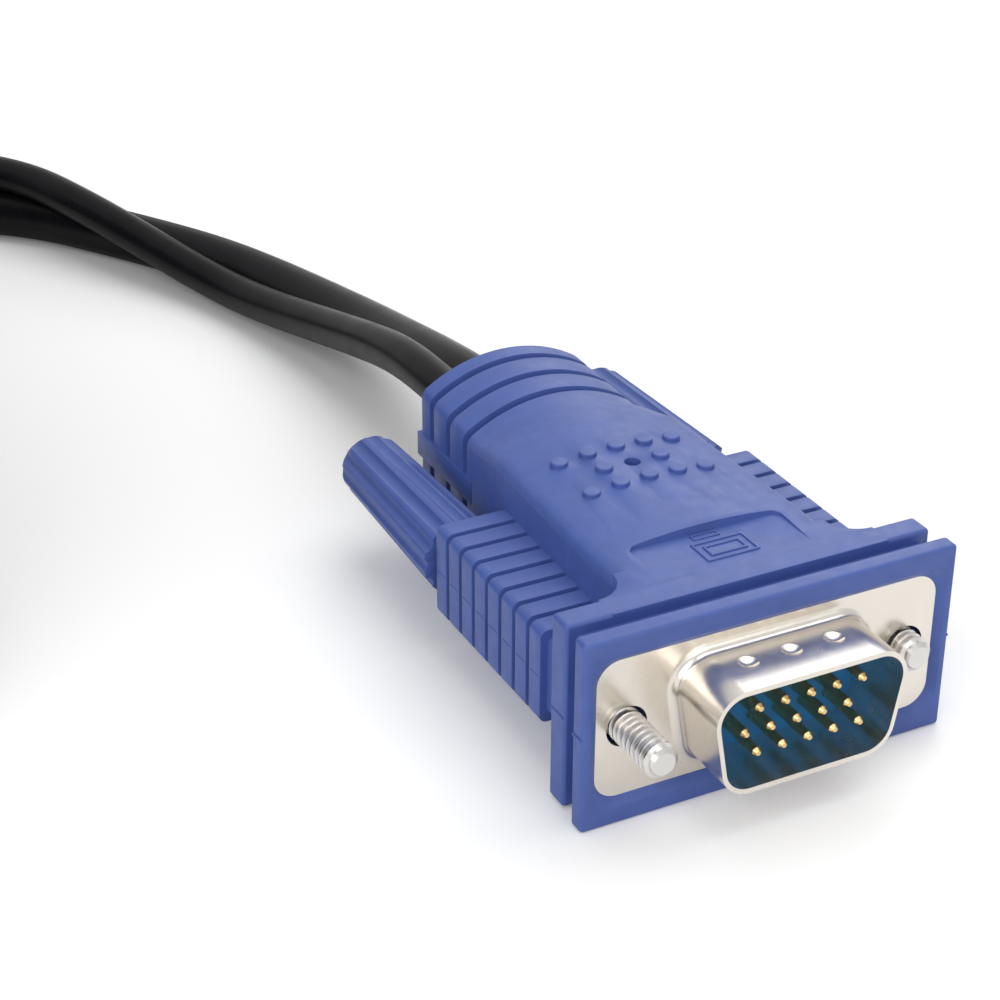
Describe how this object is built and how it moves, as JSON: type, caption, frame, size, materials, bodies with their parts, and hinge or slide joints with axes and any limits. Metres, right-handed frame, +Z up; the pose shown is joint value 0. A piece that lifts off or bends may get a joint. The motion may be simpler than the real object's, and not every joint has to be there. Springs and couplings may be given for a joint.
{
  "type": "kvm cable",
  "caption": "Twin cable with a moulded high-density D-sub plug, ribbed grip shoulders and two thumbscrews, folded into a tied hank, ending in a like plug and a flat USB plug",
  "frame": {"origin": "on the ground under the middle of the near plug's metal flange, at the flange's front face", "axes": "+X to the right when looking at the mating face, the ground plane is z = 0 with +Z up, the mating face looks to -Y and the cable leaves towards +Y"},
  "size_m": [0.111, 0.1533, 0.0538],
  "materials": {
    "hood_plastic": "fine moulded blue vinyl, satin",
    "knob_plastic": "moulded blue plastic, satin, fluted",
    "nickel": "bright nickel plate over pressed steel",
    "insulator_plastic": "smooth blue moulded insulator",
    "gold": "gold flash over copper alloy",
    "screw_steel": "plated machined steel with a rolled thread",
    "jacket": "satin black flexible vinyl jacket",
    "tie_fabric": "black hook and loop strap",
    "usb_plastic": "satin black overmould",
    "usb_tongue_plastic": "white moulded tongue"
  },
  "bodies": {
    "plug": {"hood": "hood_plastic", "front_shell": "nickel", "rear_shell": "nickel", "insulator": "insulator_plastic", "contact_pins": "gold", "far_hood": "hood_plastic", "far_front_shell": "nickel", "far_rear_shell": "nickel", "far_insulator": "insulator_plastic", "far_contact_pins": "gold", "video_cord": "jacket", "data_cord": "jacket", "cord_hank": "jacket", "cable_tie": "tie_fabric", "video_tail": "jacket", "data_tail": "jacket", "usb_overmould": "usb_plastic", "usb_shell": "nickel", "usb_tongue": "usb_tongue_plastic", "usb_contacts": "gold"},
    "left_thumbscrew": {"left_screw": "screw_steel", "left_knob": "knob_plastic"},
    "right_thumbscrew": {"right_screw": "screw_steel", "right_knob": "knob_plastic"},
    "far_left_thumbscrew": {"far_left_screw": "screw_steel", "far_left_knob": "knob_plastic"},
    "far_right_thumbscrew": {"far_right_screw": "screw_steel", "far_right_knob": "knob_plastic"}
  },
  "joints": [
    {"name": "left_screw_turn", "type": "hinge", "parent": "plug", "child": "left_thumbscrew", "pos_m": [-0.01249, 0.028, 0.00835], "axis": [0, -1, 0], "continuous": true},
    {"name": "right_screw_turn", "type": "hinge", "parent": "plug", "child": "right_thumbscrew", "pos_m": [0.01249, 0.0314, 0.00835], "axis": [0, -1, 0], "continuous": true},
    {"name": "far_left_screw_turn", "type": "hinge", "parent": "plug", "child": "far_left_thumbscrew", "pos_m": [-0.0905, 0.0625, 0.04425], "axis": [0, -1, 0], "continuous": true},
    {"name": "far_right_screw_turn", "type": "hinge", "parent": "plug", "child": "far_right_thumbscrew", "pos_m": [-0.0655, 0.0659, 0.04425], "axis": [0, -1, 0], "continuous": true}
  ]
}
